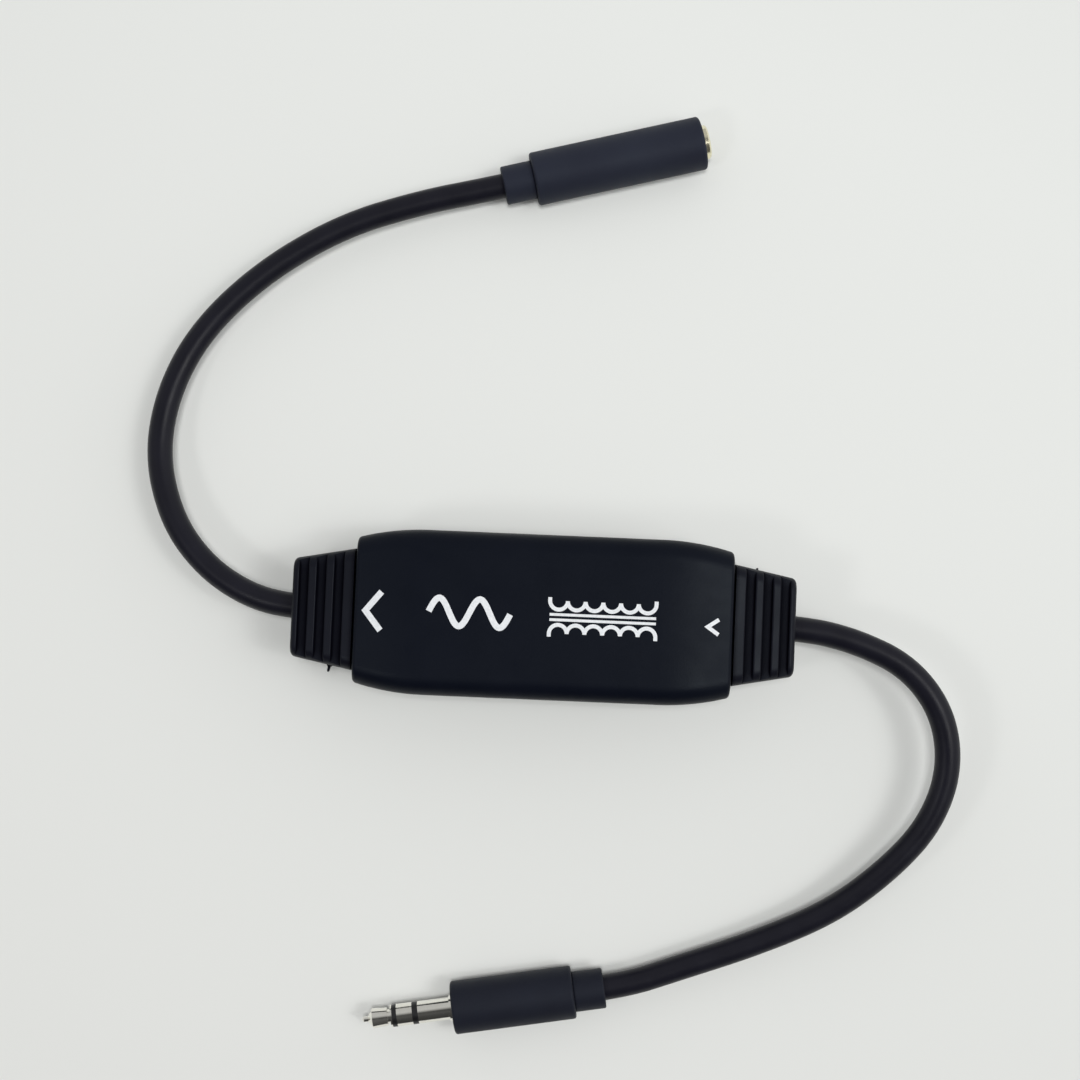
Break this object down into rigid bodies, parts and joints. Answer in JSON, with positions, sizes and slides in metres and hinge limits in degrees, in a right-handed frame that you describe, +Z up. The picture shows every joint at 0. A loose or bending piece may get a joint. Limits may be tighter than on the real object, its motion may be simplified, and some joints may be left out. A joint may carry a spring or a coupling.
{
  "type": "ground loop isolator",
  "caption": "In-line stereo audio ground loop isolator: black two-part housing, ribbed boots, short captive cords to a 3.5 mm plug and socket.",
  "frame": {"origin": "middle of the housing's underside, on the surface that it rests on", "axes": "+X along the housing from the socket cord's end to the plug cord's end, +Y across it, +Z up"},
  "size_m": [0.1311, 0.1487, 0.02],
  "materials": {
    "housing_black": "satin, fine moulded grain",
    "boot_black": "soft satin PVC",
    "cord_black": "soft satin PVC",
    "grip_black": "soft matte PVC",
    "nickel": "bright nickel plate",
    "gilt_ring": "bright pale plate",
    "insulator_black": "gloss",
    "inner_mould_white": "matte",
    "carrier_black": "matte",
    "spring_metal": "bright",
    "board_green": "satin",
    "solder": "bright",
    "core_steel": "dull",
    "bobbin_white": "matte",
    "copper": "enamelled",
    "tape_yellow": "gloss",
    "pin_metal": "bright",
    "wire_white": "gloss",
    "wire_red": "gloss",
    "wire_black": "gloss"
  },
  "bodies": {
    "root": {"boot_in": "boot_black", "boot_out": "boot_black", "circuit_board": "board_green", "cord_in": "cord_black", "cord_out": "cord_black", "in_left_wire": "wire_white", "in_right_wire": "wire_red", "in_shield_wire": "wire_black", "left_bobbin": "bobbin_white", "left_core": "core_steel", "left_pins": "pin_metal", "left_primary_winding": "copper", "left_secondary_winding": "copper", "left_winding_tape": "tape_yellow", "lower_shell": "housing_black", "out_left_wire": "wire_white", "out_right_wire": "wire_red", "out_shield_wire": "wire_black", "plug_inner_mould": "inner_mould_white", "plug_overmould": "grip_black", "plug_ring": "nickel", "plug_ring_insulator": "insulator_black", "plug_sleeve": "nickel", "plug_tip": "nickel", "plug_tip_insulator": "insulator_black", "right_bobbin": "bobbin_white", "right_core": "core_steel", "right_pins": "pin_metal", "right_primary_winding": "copper", "right_secondary_winding": "copper", "right_winding_tape": "tape_yellow", "socket_bushing": "gilt_ring", "socket_contact_carrier": "carrier_black", "socket_overmould": "grip_black", "socket_ring_spring": "spring_metal", "socket_tip_spring": "spring_metal", "solder_joints": "solder", "upper_shell": "housing_black"}
  },
  "joints": []
}
